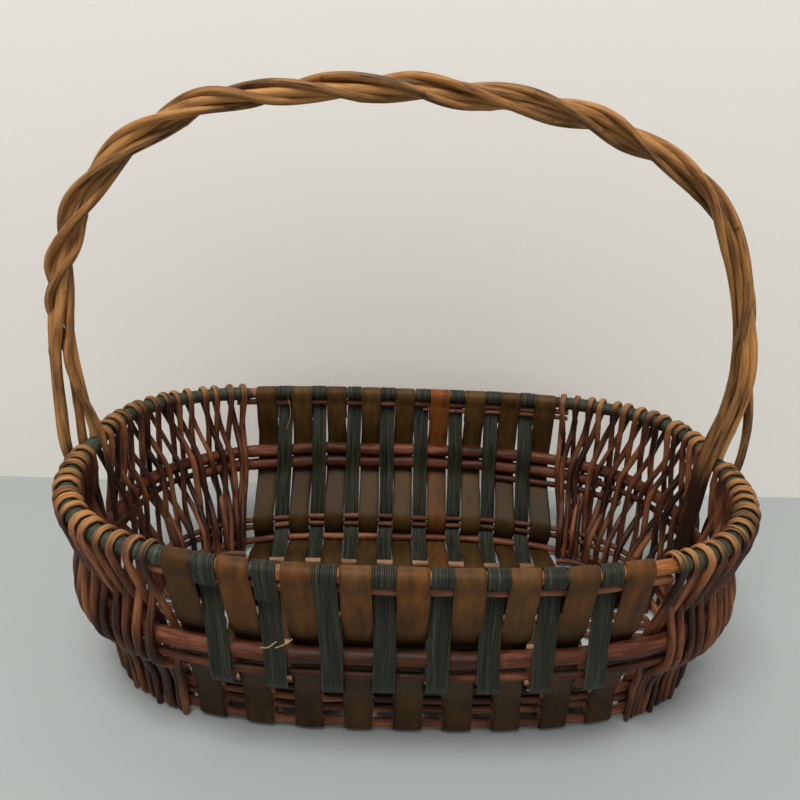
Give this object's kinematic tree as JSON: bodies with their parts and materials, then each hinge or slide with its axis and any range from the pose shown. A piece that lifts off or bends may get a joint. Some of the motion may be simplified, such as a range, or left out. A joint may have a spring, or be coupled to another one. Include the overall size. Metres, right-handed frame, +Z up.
{
  "type": "foraging basket",
  "caption": "Oval foraging basket of looped willow stakes, flat splints and dark cane ribbons, with a tall arched handle of twisted rods.",
  "frame": {"origin": "on the surface that the basket stands on, under the middle of the whole basket's box", "axes": "+X along the basket's long side, which is also the handle's span, +Y across it, +Z up"},
  "size_m": [0.5278, 0.3284, 0.4226],
  "materials": {
    "hoop_willow": "smooth peeled willow, golden brown",
    "binding_cane": "fine dyed cane, wound close, dark grey green",
    "top_rod_willow": "thin willow rod, pinkish brown",
    "mid_rod_willow": "thick willow rod with bark, pinkish brown",
    "low_rod_willow": "thin willow rod with bark, reddish brown",
    "foot_rod_willow": "light orange brown willow",
    "floor_rod_willow": "light peeled willow",
    "floor_end_willow": "willow with bark, reddish brown",
    "splint_wood": "flat split wood, olive brown, straight grain",
    "ribbon_cane": "bundle of fine dyed cane, dark grey green",
    "stake_willow": "thin willow with bark, reddish brown, light sheen",
    "handle_willow": "twisted willow rods with bark, golden brown"
  },
  "bodies": {
    "root": {"rim_hoop": "hoop_willow", "rim_binding": "binding_cane", "top_rod_front": "top_rod_willow", "top_rod_back": "top_rod_willow", "top_rod_back_second": "top_rod_willow", "mid_rod_front_upper": "mid_rod_willow", "mid_rod_front_lower": "mid_rod_willow", "mid_rod_back_upper": "mid_rod_willow", "mid_rod_back_lower": "mid_rod_willow", "mid_rod_back_thin": "mid_rod_willow", "low_rod_upper": "low_rod_willow", "low_rod_lower": "low_rod_willow", "foot_rod": "foot_rod_willow", "floor_rod_1": "floor_rod_willow", "floor_rod_2": "floor_rod_willow", "floor_rod_3": "floor_rod_willow", "floor_rod_4": "floor_rod_willow", "floor_rod_5": "floor_rod_willow", "floor_end_rod_left": "floor_end_willow", "floor_end_rod_right": "floor_end_willow", "splint_1": "splint_wood", "splint_2": "splint_wood", "splint_3": "splint_wood", "splint_4": "splint_wood", "splint_5": "splint_wood", "splint_6": "splint_wood", "splint_7": "splint_wood", "splint_8": "splint_wood", "splint_9": "splint_wood", "ribbon_1": "ribbon_cane", "ribbon_2": "ribbon_cane", "ribbon_3": "ribbon_cane", "ribbon_4": "ribbon_cane", "ribbon_5": "ribbon_cane", "ribbon_6": "ribbon_cane", "ribbon_7": "ribbon_cane", "ribbon_8": "ribbon_cane", "stake_left_front_1": "stake_willow", "stake_left_front_2": "stake_willow", "stake_left_front_3": "stake_willow", "stake_left_front_4": "stake_willow", "stake_left_back_1": "stake_willow", "stake_left_back_2": "stake_willow", "stake_left_back_3": "stake_willow", "stake_left_back_4": "stake_willow", "stake_right_front_1": "stake_willow", "stake_right_front_2": "stake_willow", "stake_right_front_3": "stake_willow", "stake_right_front_4": "stake_willow", "stake_right_back_1": "stake_willow", "stake_right_back_2": "stake_willow", "stake_right_back_3": "stake_willow", "stake_right_back_4": "stake_willow", "handle_rod_1": "handle_willow", "handle_rod_2": "handle_willow", "handle_rod_3": "handle_willow", "handle_rod_4": "handle_willow", "handle_rod_5": "handle_willow"}
  },
  "joints": []
}
